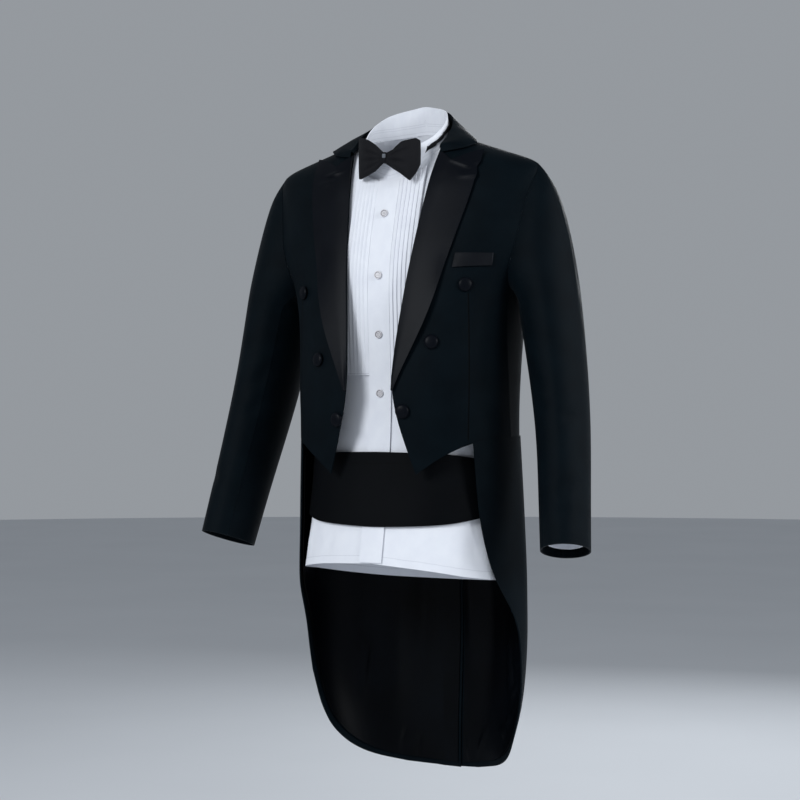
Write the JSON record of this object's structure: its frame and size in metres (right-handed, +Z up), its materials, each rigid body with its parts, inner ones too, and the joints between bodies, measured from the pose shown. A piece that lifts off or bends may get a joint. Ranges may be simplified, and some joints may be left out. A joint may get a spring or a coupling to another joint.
{
  "type": "tuxedo",
  "caption": "Evening dress worn as a set: a tailcoat with satin peak lapels over a pleated wing-collar shirt, with a cummerbund and a bow tie, hollow and open at neck, hem and cuffs.",
  "frame": {"origin": "on the middle plane between the shoulders, at the height of the sides of the neck, where the wearer's shoulders hold the clothes up", "axes": "+Z up, +X to the wearer's left, -Y the way the wearer faces"},
  "size_m": [0.6608, 0.2789, 1.0636],
  "materials": {
    "coat_wool": "matt near-black wool suiting with a cool tint",
    "coat_satin": "charcoal-black satin with a soft sheen",
    "tail_lining": "black lining satin",
    "shirt_cotton": "cool white cotton poplin",
    "cummerbund_satin": "smooth black satin",
    "tie_satin": "black ribbed silk satin",
    "shirt_button": "pearly white, four holes"
  },
  "bodies": {
    "root": {"bow_knot": "tie_satin", "bow_wing_L": "tie_satin", "bow_wing_R": "tie_satin", "breast_welt": "coat_satin", "coat_back_L": "coat_wool", "coat_back_R": "coat_wool", "coat_button_L1": "coat_satin", "coat_button_L2": "coat_satin", "coat_button_L3": "coat_satin", "coat_button_R1": "coat_satin", "coat_button_R2": "coat_satin", "coat_button_R3": "coat_satin", "coat_collar": "coat_wool", "coat_front_L": "coat_wool", "coat_front_R": "coat_wool", "coat_side_L": "coat_wool", "coat_side_R": "coat_wool", "coat_skirt_L": "coat_wool", "coat_skirt_R": "coat_wool", "collar_wing_L": "shirt_cotton", "collar_wing_R": "shirt_cotton", "cummerbund": "cummerbund_satin", "cummerbund_strap": "cummerbund_satin", "lapel_L": "coat_satin", "lapel_R": "coat_satin", "shirt_back": "shirt_cotton", "shirt_bib_L": "shirt_cotton", "shirt_bib_R": "shirt_cotton", "shirt_button_1": "shirt_button", "shirt_button_2": "shirt_button", "shirt_button_3": "shirt_button", "shirt_button_4": "shirt_button", "shirt_collar": "shirt_cotton", "shirt_cuff_L": "shirt_cotton", "shirt_cuff_R": "shirt_cotton", "shirt_front_L": "shirt_cotton", "shirt_front_R": "shirt_cotton", "shirt_placket": "shirt_cotton", "shirt_sleeve_L": "shirt_cotton", "shirt_sleeve_R": "shirt_cotton", "sleeve_under_L": "coat_wool", "sleeve_under_R": "coat_wool", "sleeve_upper_L": "coat_wool", "sleeve_upper_R": "coat_wool", "tail_lining_L": "tail_lining", "tail_lining_R": "tail_lining", "tie_band": "tie_satin"}
  },
  "joints": []
}
